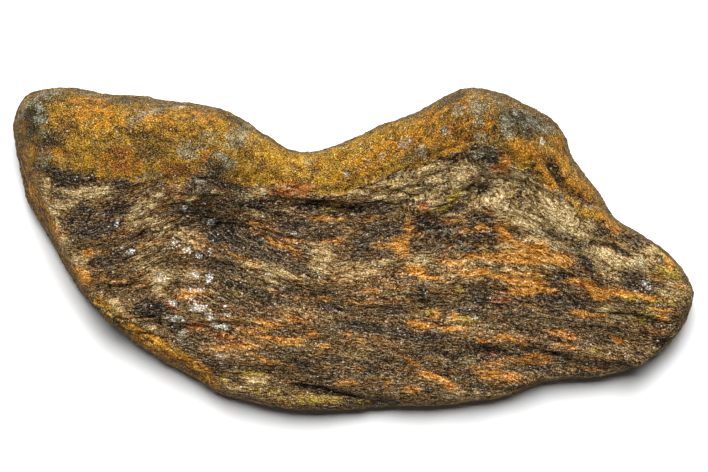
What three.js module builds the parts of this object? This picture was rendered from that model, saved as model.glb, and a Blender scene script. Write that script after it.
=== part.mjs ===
// A weathered section of fossil frill bone, broken out of the shield behind a horned dinosaur's skull.
// It lies on its underside with its broken, fibrous face up: one piece of mineralised bone, about a
// hand and a half long. Two thick lobes stand up at the back with a saddle between them, the middle is
// dished, and the front runs out to a thin splintery edge.
// Millimetres, +Z up, +X to the right and +Y to the back, with the origin on the resting spot.

import * as THREE from "three";

// Driving dimensions
const REST_SPOT = { at: [-2, -2], reach: [46, 19] }; // flat worn patch underneath: centre and half sizes
const KEEL_RISE = 0.0052; // how fast the underside curves up away from that patch, per mm squared
const MIDDLE_THICK = 19.5; // top face above the resting plane at the middle of the piece
const FRONT_SLOPE = 0.17; // fall of the top face towards the front edge
const RIM_BAND = 1.6; // height of the upright band along the widest line of the edge
const LEAST_RISE = 1; // of the top face above that band

// Mesh density: rows of faces along, across and up the rim, and how many of them lie in the rolled edge
const ALONG = 72;
const ACROSS = 31;
const RIM_LAYERS = 1;
const EDGE_ROWS = 4;
const STEPS_PER_POINT = 20; // of the outline, for measuring along it

// The outline seen from above: from the left end over the two lobes to the right end, then back along
// the front. Each point: x, y, height of its widest line, how far in the top rolls over, how round that
// roll is (0 is a straight bevel, 1 a quarter round), and how far in the underside curls up.
const OUTLINE = [
  [-100.0, 35.2, 9, 6.5, 0.6, 9],
  [-99.1, 40.8, 11, 6.5, 0.9, 9],
  [-95.9, 44.9, 12, 7, 1, 10],
  [-90.6, 47.0, 13, 8, 1, 11],
  [-82.9, 47.6, 14, 9, 1, 12],
  [-77.0, 46.7, 14, 9, 1, 12],
  [-72.9, 45.5, 14, 9, 1, 12],
  [-64.1, 45.2, 14, 9, 1, 12],
  [-54.1, 43.6, 14, 8, 1, 12],
  [-43.7, 42.3, 15, 8, 1, 12],
  [-35.8, 40.2, 15, 8, 1, 12],
  [-30.5, 37.0, 15, 9, 1, 12],
  [-22.8, 31.8, 14, 11, 1, 13],
  [-15.8, 28.7, 13, 13, 1, 14],
  [-9.3, 29.2, 13, 13, 1, 14],
  [-0.4, 32.6, 14, 13, 1, 14],
  [7.8, 36.4, 14, 13, 1, 13],
  [19.6, 40.8, 15, 12, 1, 12],
  [26.1, 44.6, 16, 11, 1, 12],
  [29.6, 46.7, 16, 10, 1, 11],
  [34.6, 47.6, 16, 10, 1, 11],
  [43.2, 45.9, 16, 10, 1, 12],
  [51.4, 42.0, 15, 10, 1, 12],
  [58.5, 38.2, 14, 9, 1, 12],
  [62.0, 33.7, 13, 8, 1, 11],
  [63.5, 28.1, 12, 7, 1, 10],
  [68.2, 21.7, 11, 7, 0.9, 10],
  [73.2, 15.2, 10, 6, 0.9, 9],
  [75.3, 10.5, 9, 5, 0.8, 8],
  [77.2, 8.6, 9, 4.5, 0.8, 8],
  [84.4, 4.6, 9, 5, 0.8, 8],
  [91.5, -0.1, 8, 5, 0.7, 8],
  [96.2, -4.9, 8, 5, 0.7, 8],
  [100.0, -12.2, 7, 4, 0.6, 8],
  [99.0, -18.4, 7, 3.5, 0.6, 9],
  [95.0, -25.5, 7, 3.5, 0.6, 9],
  [89.7, -30.8, 7, 3.5, 0.6, 9],
  [84.4, -33.7, 7, 3, 0.6, 9],
  [77.9, -36.2, 6, 3, 0.6, 9],
  [70.3, -37.6, 6, 3, 0.6, 9],
  [60.8, -38.2, 6, 3, 0.6, 9],
  [52.6, -39.8, 6, 3, 0.6, 9],
  [48.0, -42.2, 6, 3, 0.6, 9],
  [43.2, -43.6, 6, 3, 0.6, 10],
  [34.3, -44.9, 6, 3, 0.6, 10],
  [22.5, -46.0, 6, 3, 0.6, 10],
  [7.8, -46.4, 6, 3, 0.6, 10],
  [-2.5, -47.5, 6, 3, 0.6, 10],
  [-15.8, -47.2, 6, 3, 0.6, 10],
  [-25.2, -45.8, 5, 3.5, 0.5, 10],
  [-34.6, -44.0, 5, 4, 0.4, 9],
  [-40.8, -41.8, 5, 5, 0.2, 8],
  [-46.4, -38.0, 5, 6, 0.1, 7],
  [-54.1, -34.0, 5, 7.5, 0, 7],
  [-62.9, -29.0, 5, 7.5, 0, 6],
  [-70.3, -22.8, 5, 6.5, 0, 6],
  [-77.0, -16.6, 5, 5.5, 0, 6],
  [-81.2, -11.6, 5, 5, 0, 6],
  [-85.9, -3.7, 5, 5, 0, 6],
  [-91.2, 5.5, 5, 5.5, 0, 6],
  [-95.9, 13.4, 5, 7, 0.1, 6],
  [-98.2, 22.2, 6, 7, 0.2, 7],
  [-99.5, 29.3, 7, 6.5, 0.4, 8],
];
// Points of the list above that part the outline into a back, right, front and left side.
const CORNERS = { backLeft: 2, backRight: 33, frontRight: 37, frontLeft: 55 };

// Landforms of the top face: centre, half sizes, turn in degrees and rise. A negative rise is a hollow.
const LANDFORMS = [
  { what: "left lobe", at: [-66, 33], reach: [36, 15], turn: -6, rise: 10 },
  { what: "swelling behind the left crest", at: [-47, 36], reach: [17, 6], turn: -8, rise: 3 },
  { what: "hollow at the left corner", at: [-76, 40], reach: [11, 5], turn: 0, rise: -2 },
  { what: "left crest", at: [-42, 20], reach: [8, 8], turn: 25, rise: 5 },
  { what: "shoulder below the left lobe", at: [-66, 4], reach: [24, 20], turn: -40, rise: 6 },
  { what: "saddle", at: [-14, 26], reach: [22, 12], turn: 0, rise: 1.5 },
  { what: "dish", at: [-8, 4], reach: [40, 15], turn: -4, rise: -5 },
  { what: "right lobe", at: [38, 36], reach: [20, 14], turn: 10, rise: 12 },
  { what: "ridge down from the right lobe", at: [56, 21], reach: [21, 8], turn: -44, rise: 9 },
  { what: "apron under the right lobe", at: [48, 8], reach: [30, 14], turn: -20, rise: 4 },
  { what: "smooth swell in the dish", at: [-6, -6], reach: [14, 8], turn: -8, rise: 2.2 },
  { what: "tail", at: [80, -12], reach: [20, 12], turn: -25, rise: 3 },
  { what: "front belly", at: [-20, -30], reach: [44, 12], turn: -4, rise: 2 },
];

// Cracks and creases: a line of points, half width and depth.
const CREASES = [
  { what: "fold in the flank", line: [[58, 25], [61, 19.6], [64, 17.4], [71, 12.6]], width: 2.2, depth: 2.6 },
  { what: "groove", line: [[-38, -8], [-30, -13], [-20, -17], [-8, -19]], width: 2.4, depth: 1.4 },
  { what: "cleft in the tail", line: [[70.6, 1.9], [82, -2.2]], width: 2.4, depth: 1.4 },
  { what: "hole in the front", line: [[38, -29.5], [43, -30.5]], width: 2.4, depth: 1.6 },
];

// Broken steps: the bone in front of the line lies lower by the drop.
const STEPS = [
  {
    what: "long step",
    line: [[-2, -21], [18, -25.5], [35, -27.5], [47, -30], [60, -30.5], [72, -33]],
    drop: 1.1,
  },
  { what: "front step", line: [[-20, -40], [-10, -41], [0, -43], [12, -45.5]], drop: 1.5 },
];
const STEP_RUN = 1.2; // how far the face of a step leans
const STEP_FADE = 7; // how fast a step dies out past its ends
const STEP_REACH = 14; // and in front of it

// Bundles of fibre: the grain runs along the piece and arches over the two crests.
const GRAIN_ARCHES = [
  { x: -46, reach: 22, rise: 12 },
  { x: 44, reach: 27, rise: 24 },
];
const GRAIN_FALL = 0.12; // slope of the grain near the front edge
const ARCHES_WHOLE = 16; // behind this line
const ARCHES_GONE = -30; // in front of this one
const BUNDLES = [
  { pitch: 13, relief: 0.9, swayPitch: 90, phase: 0.4 },
  { pitch: 7.5, relief: 0.55, swayPitch: 47, phase: 2.1 },
];
const BUNDLE_SWAY = 1.3; // radians that a bundle wanders to either side of its grain line
const CRUST_LINE = 13; // behind this line the crust hides the bundles
const CRUST_BLEND = 9;

// Low bumps on the underside, which only ever lift it off the resting plane
const LUMPS_WHOLE = 0.6; // share of the resting spot's reach beyond it where they are at full height
const UNDER_LUMPS = [
  { at: [-60, 14], reach: [16, 14], turn: 20, rise: 2.2 },
  { at: [58, 6], reach: [18, 12], turn: -30, rise: 2 },
  { at: [0, 30], reach: [26, 7], turn: 0, rise: 1.6 },
  { at: [-56, -20], reach: [15, 9], turn: -30, rise: 1.5 },
];

const smooth = (x, from, to) => THREE.MathUtils.smoothstep(x, from, to);

// A soft-edged hill or hollow.
function mound({ at, reach, turn, rise }, x, y) {
  const angle = THREE.MathUtils.degToRad(turn);
  const dx = x - at[0];
  const dy = y - at[1];
  const u = (dx * Math.cos(angle) + dy * Math.sin(angle)) / reach[0];
  const v = (dy * Math.cos(angle) - dx * Math.sin(angle)) / reach[1];
  return rise * Math.exp(-(u * u + v * v));
}

// Nearest point of a line of points: distance to it, how far behind the line, and how far past its ends.
function nearest(line, x, y) {
  let best = { gap: Infinity };
  for (let i = 0; i + 1 < line.length; i++) {
    const [ax, ay] = line[i];
    const [bx, by] = line[i + 1];
    const length = Math.hypot(bx - ax, by - ay);
    const run = ((x - ax) * (bx - ax) + (y - ay) * (by - ay)) / length ** 2;
    const held = THREE.MathUtils.clamp(run, 0, 1);
    const gap = Math.hypot(x - ax - held * (bx - ax), y - ay - held * (by - ay));
    if (gap < best.gap) {
      const side = ((bx - ax) * (y - ay) - (by - ay) * (x - ax)) / length;
      const past = Math.abs(run - held) * length;
      best = { gap, side, past };
    }
  }
  return best;
}

function crease({ line, width, depth }, x, y) {
  const { gap } = nearest(line, x, y);
  return -depth * Math.exp(-((gap / width) ** 2));
}

function step({ line, drop }, x, y) {
  const { gap, side, past } = nearest(line, x, y);
  const face = smooth(-side, -STEP_RUN, STEP_RUN);
  return -drop * face * Math.exp(-((past / STEP_FADE) ** 2)) * Math.exp(-gap / STEP_REACH);
}

// Position across the grain: the same value all along one fibre.
function acrossGrain(x, y) {
  const folded = smooth(y, ARCHES_GONE, ARCHES_WHOLE);
  const arch = GRAIN_ARCHES.reduce((sum, { x: middle, reach, rise }) => {
    return sum + rise * Math.exp(-(((x - middle) / reach) ** 2));
  }, 0);
  return y - folded * arch + (1 - folded) * GRAIN_FALL * x;
}

function bundles(x, y) {
  const across = acrossGrain(x, y);
  const bare = 1 - smooth(across, CRUST_LINE - CRUST_BLEND, CRUST_LINE + CRUST_BLEND);
  let height = 0;
  for (const { pitch, relief, swayPitch, phase } of BUNDLES) {
    const sway = BUNDLE_SWAY * Math.sin((2 * Math.PI * x) / swayPitch + phase);
    height += relief * Math.sin((2 * Math.PI * across) / pitch + sway + phase);
  }
  return bare * height;
}

function topFace(x, y) {
  let z = MIDDLE_THICK + FRONT_SLOPE * y;
  for (const form of LANDFORMS) z += mound(form, x, y);
  for (const line of CREASES) z += crease(line, x, y);
  for (const line of STEPS) z += step(line, x, y);
  return z + bundles(x, y);
}

// The underside: flat over the resting spot, and curving up all round it.
function underFace(x, y) {
  const u = (x - REST_SPOT.at[0]) / REST_SPOT.reach[0];
  const v = (y - REST_SPOT.at[1]) / REST_SPOT.reach[1];
  const beyond = Math.max(0, Math.hypot(u, v) - 1);
  const reach = Math.min(...REST_SPOT.reach) * beyond;
  const rise = KEEL_RISE * reach * reach;
  const lumps = UNDER_LUMPS.reduce((sum, lump) => sum + mound(lump, x, y), 0);
  return rise + lumps * smooth(beyond, 0, LUMPS_WHOLE);
}

const outline = new THREE.CatmullRomCurve3(
  OUTLINE.map(([x, y, rim]) => new THREE.Vector3(x, y, rim)),
  true,
  "centripetal",
);
const edges = new THREE.CatmullRomCurve3(
  OUTLINE.map(([, , , roll, round, curl]) => new THREE.Vector3(roll, round, curl)),
  true,
  "centripetal",
);

outline.arcLengthDivisions = OUTLINE.length * STEPS_PER_POINT;
const lengths = outline.getLengths();

// Share of the outline's length at which one of its listed points lies.
const shareOf = (index) => lengths[index * STEPS_PER_POINT] / lengths[lengths.length - 1];
const at = {
  backLeft: shareOf(CORNERS.backLeft),
  backRight: shareOf(CORNERS.backRight),
  frontRight: shareOf(CORNERS.frontRight),
  frontLeft: shareOf(CORNERS.frontLeft),
};

// The edge at a share of the way between two shares of the outline's length: its place and its shape.
function edgeBetween(from, to, share) {
  const u = THREE.MathUtils.lerp(from, to, share);
  const t = outline.getUtoTmapping(u - Math.floor(u));
  const { x, y, z: rim } = outline.getPoint(t);
  const { x: roll, y: round, z: curl } = edges.getPoint(t);
  return { x, y, rim, roll, round, curl };
}

const sides = {
  back: (s) => edgeBetween(at.backLeft, at.backRight, s),
  front: (s) => edgeBetween(at.frontLeft, at.frontRight, s),
  left: (t) => edgeBetween(at.frontLeft, at.backLeft + 1, t),
  right: (t) => edgeBetween(at.frontRight, at.backRight, t),
};
const corners = {
  frontLeft: sides.front(0),
  frontRight: sides.front(1),
  backLeft: sides.back(0),
  backRight: sides.back(1),
};

// A point of the plan, stretched between the four sides, with s along and t across from 0 to 1.
function plan(s, t) {
  const back = sides.back(s);
  const front = sides.front(s);
  const left = sides.left(t);
  const right = sides.right(t);
  const blend = (axis) =>
    (1 - t) * front[axis] + t * back[axis] + (1 - s) * left[axis] + s * right[axis] -
    (1 - s) * (1 - t) * corners.frontLeft[axis] - s * (1 - t) * corners.frontRight[axis] -
    (1 - s) * t * corners.backLeft[axis] - s * t * corners.backRight[axis];
  return { x: blend("x"), y: blend("y") };
}

// Moves a mesh line, from 0 in the middle to 1 on the edge, so that the edge rows fill the rolled edge.
function setIn(place, rows, width, half) {
  const share = (1 - Math.abs(place)) / rows;
  const shoulder = width / half;
  const moved =
    share < 1
      ? 1 - shoulder * (1 - Math.cos((share * Math.PI) / 2))
      : (1 - shoulder) * (Math.abs(place) / (1 - rows));
  return (1 + Math.sign(place) * moved) / 2;
}

const span = (a, b) => Math.hypot(a.x - b.x, a.y - b.y);

// Moves one corner of the starting block to its place on the bone.
function shapePoint(block) {
  const isTop = block.z > 0;
  const width = isTop ? "roll" : "curl";
  const rowsAlong = (2 * EDGE_ROWS) / ALONG;
  const rowsAcross = (2 * EDGE_ROWS) / ACROSS;
  const s = (block.x + 1) / 2;
  const t = (block.y + 1) / 2;
  const endways = block.x > 0 ? sides.right(t) : sides.left(t);
  const sideways = block.y > 0 ? sides.back(s) : sides.front(s);
  const halfLength = span(sides.left(t), sides.right(t)) / 2;
  const halfDepth = span(sides.front(s), sides.back(s)) / 2;
  const { x, y } = plan(
    setIn(block.x, rowsAlong, endways[width], halfLength),
    setIn(block.y, rowsAcross, sideways[width], halfDepth),
  );
  const fromEnd = (1 - Math.abs(block.x)) / rowsAlong;
  const fromSide = (1 - Math.abs(block.y)) / rowsAcross;
  const edge = fromEnd < fromSide ? endways : sideways;
  const turn = (Math.min(fromEnd, fromSide, 1) * Math.PI) / 2;
  const risen = (round) => THREE.MathUtils.lerp(1 - Math.cos(turn), Math.sin(turn), round);
  if (isTop) {
    const rimTop = edge.rim + RIM_BAND / 2;
    const rise = Math.max(topFace(x, y) - rimTop, LEAST_RISE);
    return block.set(x, y, rimTop + rise * risen(edge.round));
  }
  const rimFoot = edge.rim - RIM_BAND / 2;
  const fall = Math.max(rimFoot - underFace(x, y), 0);
  return block.set(x, y, rimFoot - fall * risen(1));
}

// The bone: a block of many small faces, with every corner of them moved to its place.
function frillSection() {
  const block = new THREE.BoxGeometry(2, 2, 2, ALONG, ACROSS, RIM_LAYERS);
  const corners = block.attributes.position;
  const point = new THREE.Vector3();
  for (let i = 0; i < corners.count; i++) {
    shapePoint(point.fromBufferAttribute(corners, i));
    corners.setXYZ(i, point.x, point.y, point.z);
  }
  block.computeVertexNormals();
  return block;
}

const bone = new THREE.MeshStandardMaterial({ color: 0x8a6b41, roughness: 0.85, metalness: 0 });

const fossil = new THREE.Group();
const frill = new THREE.Mesh(frillSection(), bone);
frill.name = "frill_bone";
fossil.add(frill);

export default fossil;
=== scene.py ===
import math

import bmesh
import bpy
import numpy as np
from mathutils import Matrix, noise


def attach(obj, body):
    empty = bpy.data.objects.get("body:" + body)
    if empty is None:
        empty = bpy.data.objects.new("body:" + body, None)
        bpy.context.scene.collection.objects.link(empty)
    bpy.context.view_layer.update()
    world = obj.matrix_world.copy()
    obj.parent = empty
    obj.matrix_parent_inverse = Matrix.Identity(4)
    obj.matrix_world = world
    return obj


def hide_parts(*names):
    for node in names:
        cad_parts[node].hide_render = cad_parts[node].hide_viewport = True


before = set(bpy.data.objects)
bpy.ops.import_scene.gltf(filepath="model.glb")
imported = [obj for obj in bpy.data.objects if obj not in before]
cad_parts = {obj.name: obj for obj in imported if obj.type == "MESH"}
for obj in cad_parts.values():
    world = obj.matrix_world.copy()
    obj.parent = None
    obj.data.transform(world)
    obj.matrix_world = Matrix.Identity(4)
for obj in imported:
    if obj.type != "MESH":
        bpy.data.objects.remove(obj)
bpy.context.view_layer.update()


# The bone, its form: one piece of fossil frill, broken out of the rock, lying on its worn underside.
# Bone that has turned to stone: the broken top shows its fibres, and sandstone still clings to the back.
# It is worn and split along the grain, so its surface is raised and cut with the grain, not across it.
grid_step = 0.0007
same_point = 0.00001
cad_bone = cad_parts["frill_bone"]
shell = bmesh.new()
shell.from_mesh(cad_bone.data)
bmesh.ops.remove_doubles(shell, verts=shell.verts, dist=same_point)
bmesh.ops.join_triangles(shell, faces=shell.faces, angle_face_threshold=0.7, angle_shape_threshold=1.0)
form = bpy.data.meshes.new("frill_bone_weathered")
shell.to_mesh(form)
shell.free()
form.materials.clear()
bone = bpy.data.objects.new("frill_bone_weathered", form)
bpy.context.scene.collection.objects.link(bone)

smoothed = bone.modifiers.new("rounded", "SUBSURF")
smoothed.levels = smoothed.render_levels = 2
skin = bone.modifiers.new("even skin", "REMESH")
skin.mode = "VOXEL"
skin.voxel_size = grid_step
settle = bone.modifiers.new("settled", "SMOOTH")
settle.factor = 0.5
settle.iterations = 4


def settle_modifiers(piece):
    """Makes what the modifiers of a piece give its real mesh, and takes them off."""
    seen = piece.evaluated_get(bpy.context.evaluated_depsgraph_get())
    finished = bpy.data.meshes.new_from_object(seen)
    piece.modifiers.clear()
    piece.data = finished


settle_modifiers(bone)
millimetres = 1000


def read_points(mesh):
    """Places and outward directions of a mesh's points, places in millimetres."""
    count = len(mesh.vertices)
    places = np.empty(count * 3)
    mesh.vertices.foreach_get("co", places)
    facing = np.empty(count * 3)
    mesh.vertex_normals.foreach_get("vector", facing)
    return places.reshape(-1, 3) * millimetres, facing.reshape(-1, 3)


places, facing = read_points(bone.data)
x, y, z = places.T


def eased(value, low, high):
    """0 below low, 1 above high, and a smooth rise between them."""
    share = np.clip((value - low) / (high - low), 0, 1)
    return share * share * (3 - 2 * share)


# The grain of the bone arches over the two lobes and runs straight, falling a little, along the front.
grain_arches = [
    # middle, reach to the left and right, rise, the line behind which it is whole and how it fades
    (-50, 16, 25, 10, -16, 6),
    (48, 40, 24, 34, 23, 13.6),
]
grain_fall = 0.143
tail_start = 58
tail_droop = 0.006


def across_grain(x, y):
    """Position across the grain: the same value all along one fibre."""
    across = y + grain_fall * x / (1 + np.exp((y + 10) / 15))
    for middle, left, right, rise, whole, fade in grain_arches:
        reach = np.where(x < middle, left, right)
        across = across - rise * np.exp(-(((x - middle) / reach) ** 2)) / (1 + np.exp((whole - y) / fade))
    tail = np.maximum(x - tail_start, 0)
    return across + tail_droop * tail * tail / (1 + np.exp((-9 - y) / 4))


seed_stride = 17.3


def noise_at(points, size, seed):
    """Soft noise from -1 to 1 at the points, with features of the given sizes in millimetres."""
    spread = points / np.asarray(size, float) + seed * seed_stride
    return np.array([noise.noise(point) for point in spread])


fibre = np.column_stack((x, across_grain(x, y), z))
fibre[:, 1] += 1.0 * noise_at(places, (16, 8, 8), 1) + 0.2 * noise_at(places, (6, 3, 3), 2)

# Sandstone crust: everything behind this line of points, x and y.
crust_line = [
    (-100, 27), (-88, 24), (-80, 23), (-71, 20), (-62, 20.5), (-50, 19.5), (-43, 24), (-36, 20), (-28, 19),
    (-16, 19), (-9, 16.5), (-3, 17), (3, 19), (9, 21), (14, 23), (20, 25), (26, 27), (30, 29), (36, 31),
    (42, 29), (47, 24.5), (50, 23.5), (53, 20.5), (57, 17.5), (61, 14.5), (66, 10.5), (71, 8.8), (78, 7),
]
line_x, line_y = np.array(crust_line).T
ragged = 1.4 * noise_at(places, (5, 5, 5), 3) + 0.9 * noise_at(places, (2, 2, 2), 4)
behind = y - np.interp(x, line_x, line_y) + ragged
crust = eased(behind, -0.8, 0.8)
# The outer side of the piece, where it turns away from the broken face, has a worn sandy skin as well.
# The same mask paints shade into the colour: the sides that turn away from up are made darker and olive.
turned_skin_and_shade = 1 - eased(facing[:, 2] + 0.12 * noise_at(places, (3, 3, 3), 5), 0.05, 0.5)
sandy = np.maximum(crust, turned_skin_and_shade)

# The left end of the bone is spongier than the rest, with blots and pores in place of long fibres.
spongy = eased(-x + 3 * noise_at(places, (9, 9, 9), 21), 58, 70)

# Relief, in millimetres: ropes, strands and threads of fibre, splits between them and flakes broken off.
ropes = 1 - 2 * np.abs(noise_at(fibre, (34, 3.4, 3.4), 6))
strands = 1 - 2 * np.abs(noise_at(fibre, (17, 1.7, 1.7), 7))
threads = noise_at(fibre, (8, 0.9, 0.9), 8)
flakes = noise_at(fibre, (20, 5, 5), 9)
flake_edge = np.floor(flakes * 4) / 4 + eased((flakes * 4) % 1, 0.7, 1.0) / 4
split_width = 0.06
split_here = eased(noise_at(fibre, (30, 8, 8), 11), 0, 0.3)
splits = np.exp(-((noise_at(fibre, (26, 3.0, 3.0), 10) / split_width) ** 2)) * split_here
bare_relief = 0.3 * ropes + 0.3 * strands + 0.22 * threads + 1.0 * flake_edge - 0.9 * splits
bare_relief *= 1 - 0.5 * spongy

lumps = noise_at(places, (6, 6, 6), 12)
knobs = noise_at(places, (2.2, 2.2, 2.2), 13)
grit = noise_at(places, (1.0, 1.0, 1.0), 14)
pits = eased(noise_at(places, (1.9, 1.9, 1.9), 15), 0.35, 0.6)
sandy_relief = 0.35 * lumps + 0.3 * knobs + 0.26 * grit - 0.4 * pits
bare_relief += 0.8 * spongy * sandy_relief
relief = bare_relief * (1 - sandy) + sandy_relief * sandy

# Cracks and open splits that are seen one by one: points along each, half width and depth.
cracks = [
    ([(-33, -11), (-29, -14), (-22, -16.5)], 1.2, 0.7),
    ([(38, -29), (43, -30.5)], 1.4, 0.8),
    ([(-18, -40), (-10, -41), (-1, -43), (12, -45.6)], 0.6, 0.7),
    ([(57, 24), (60, 19.5), (62, 17.8), (69, 13)], 1.0, 1.6),
    ([(69, 2), (75, 0), (81, -2.5)], 0.8, 1.4),
    ([(66, -2), (69, -5), (71, -7)], 1.3, 0.8),
    ([(8, 20), (13, 22.5), (22, 27), (30, 30)], 0.5, 0.6),
    ([(13, 17), (20, 20), (29, 24)], 0.5, 0.6),
    ([(33, 17), (37, 22), (38, 26)], 0.5, 0.9),
    ([(44, 16), (50, 20), (52, 24)], 0.5, 0.8),
]


def gap_to(line, x, y):
    """How far each point lies from a line of points."""
    nearest = np.full(len(x), np.inf)
    for (ax, ay), (bx, by) in zip(line, line[1:]):
        length = (bx - ax) ** 2 + (by - ay) ** 2
        share = np.clip(((x - ax) * (bx - ax) + (y - ay) * (by - ay)) / length, 0, 1)
        nearest = np.minimum(nearest, np.hypot(x - ax - share * (bx - ax), y - ay - share * (by - ay)))
    return nearest


wander = 0.9 * noise_at(places, (7, 7, 7), 16) + 0.4 * noise_at(places, (2.5, 2.5, 2.5), 17)
upward = eased(facing[:, 2], 0.0, 0.4)
for line, half_width, depth in cracks:
    gap = gap_to(line, x, y + wander)
    relief -= depth * np.exp(-((gap / half_width) ** 2)) * upward

# Low swells along the grain, in front of the cream bone, of the long step and of the crust.
swells = [
    ([(39, 10.5), (48, 8), (57, 4), (66, 0.5)], 3.0, 1.0),
    ([(46, -31.5), (54, -32), (63, -32.8), (71, -34.5)], 2.0, 0.6),
    ([(-30, 16), (-20, 15.2), (-8, 14.6), (4, 13.4)], 1.6, 0.7),
]
for line, half_width, swell in swells:
    relief += swell * np.exp(-((gap_to(line, x, y + wander) / half_width) ** 2)) * upward

# The arris along the left wall: a rounded lip, painted a little paler, which fades out towards the front.
arris_height = 0.35
arris_half_width = 1.1
arris_line = [
    (-94.4, 29), (-93, 24.5), (-91, 19.4), (-88.6, 13.8), (-86, 5.2), (-82.4, -1.9), (-78.6, -8.6),
    (-70.8, -15.4), (-66.6, -19.2), (-60.7, -22.7), (-52.2, -27), (-43.6, -34), (-38, -41),
]
arris_gap = gap_to(arris_line, x, y + 0.6 * wander)
arris = np.exp(-((arris_gap / arris_half_width) ** 2)) * eased(-x, 46, 60)
relief += arris_height * arris

# Nothing is raised where the piece rests, and the worn underside has a third of the relief.
under_share = 0.35
free = eased(z, 1.5, 6.0)
lift = relief * np.where(facing[:, 2] < -0.3, under_share, 1.0) * free
places = places + facing * lift[:, None]
places[:, 2] = np.maximum(places[:, 2], 0)
bone.data.vertices.foreach_set("co", (places / millimetres).ravel())
bone.data.update()
bone.data.shade_smooth()
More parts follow.
